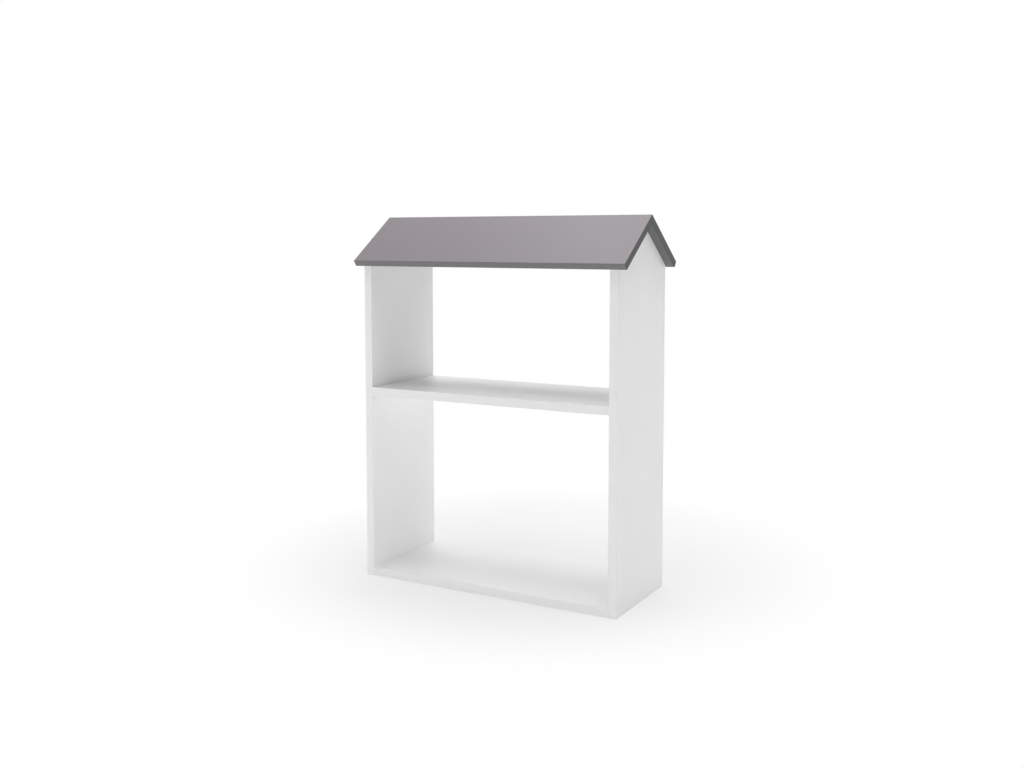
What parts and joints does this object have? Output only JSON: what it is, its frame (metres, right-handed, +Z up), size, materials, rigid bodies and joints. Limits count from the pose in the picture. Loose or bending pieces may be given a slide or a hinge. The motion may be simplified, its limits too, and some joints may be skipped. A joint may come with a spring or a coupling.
{
  "type": "house shaped bookcase",
  "caption": "Child's open bookcase shaped like a house: gabled side panels, a bottom and a middle shelf, and a mitred pitched roof.",
  "frame": {"origin": "on the floor, at the middle of the footprint", "axes": "+X along the width, +Y from the front to the back, +Z up"},
  "size_m": [0.702, 0.2926, 0.8675],
  "materials": {
    "white_board": "chipboard faced with matt white melamine",
    "grey_board": "chipboard faced with matt warm grey melamine",
    "white_edging": "white plastic edge band, matt",
    "grey_edging": "warm grey plastic edge band, matt",
    "dowel_wood": "turned beech, fluted",
    "tongue_board": "smooth hardboard",
    "bolt_steel": "zinc plated steel",
    "cam_zinc": "die-cast zinc, satin",
    "cap_plastic": "white moulded plastic, satin"
  },
  "bodies": {
    "root": {"left_side_panel": "white_board", "right_side_panel": "white_board", "bottom_shelf": "white_board", "middle_shelf": "white_board", "front_roof_panel": "grey_board", "back_roof_panel": "grey_board", "ridge_tongue": "tongue_board", "left_side_edge_bands": "white_edging", "right_side_edge_bands": "white_edging", "bottom_shelf_edge_bands": "white_edging", "middle_shelf_edge_bands": "white_edging", "front_roof_eave_band": "grey_edging", "back_roof_eave_band": "grey_edging", "front_roof_end_bands": "grey_edging", "back_roof_end_bands": "grey_edging", "bottom_shelf_dowels": "dowel_wood", "middle_shelf_dowels": "dowel_wood", "roof_dowels": "dowel_wood", "bottom_shelf_bolts": "bolt_steel", "middle_shelf_bolts": "bolt_steel", "roof_bolts": "bolt_steel", "bottom_shelf_cams": "cam_zinc", "middle_shelf_cams": "cam_zinc", "roof_cams": "cam_zinc", "middle_shelf_cam_caps": "cap_plastic", "roof_cam_caps": "cap_plastic"}
  },
  "joints": []
}
